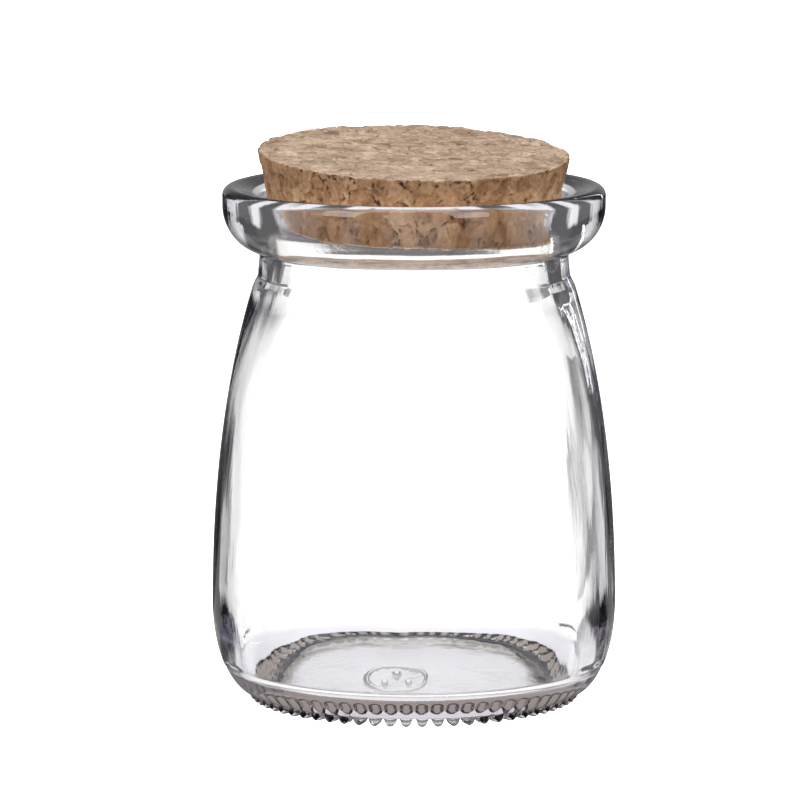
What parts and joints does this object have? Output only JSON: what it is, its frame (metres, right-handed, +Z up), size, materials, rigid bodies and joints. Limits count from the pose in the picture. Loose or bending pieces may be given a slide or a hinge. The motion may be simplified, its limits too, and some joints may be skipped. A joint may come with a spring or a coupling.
{
  "type": "glass jar with cork",
  "caption": "Small empty clear glass dessert jar with a thick flared lip, sloping shoulder and beaded foot, closed by a tapered pressed-cork stopper.",
  "frame": {"origin": "on the table, under the middle of the jar", "axes": "+Z up along the jar's axis, -Y towards the camera of the picture, +X to its right"},
  "size_m": [0.058, 0.058, 0.0806],
  "materials": {
    "clear_glass": "clear pressed soda-lime glass, fire-polished and slightly wavy",
    "cork": "matte pressed cork granules with dark flecks, pits and crumbly edges"
  },
  "bodies": {
    "root": {"glass_jar": "clear_glass", "cork_stopper": "cork"}
  },
  "joints": []
}
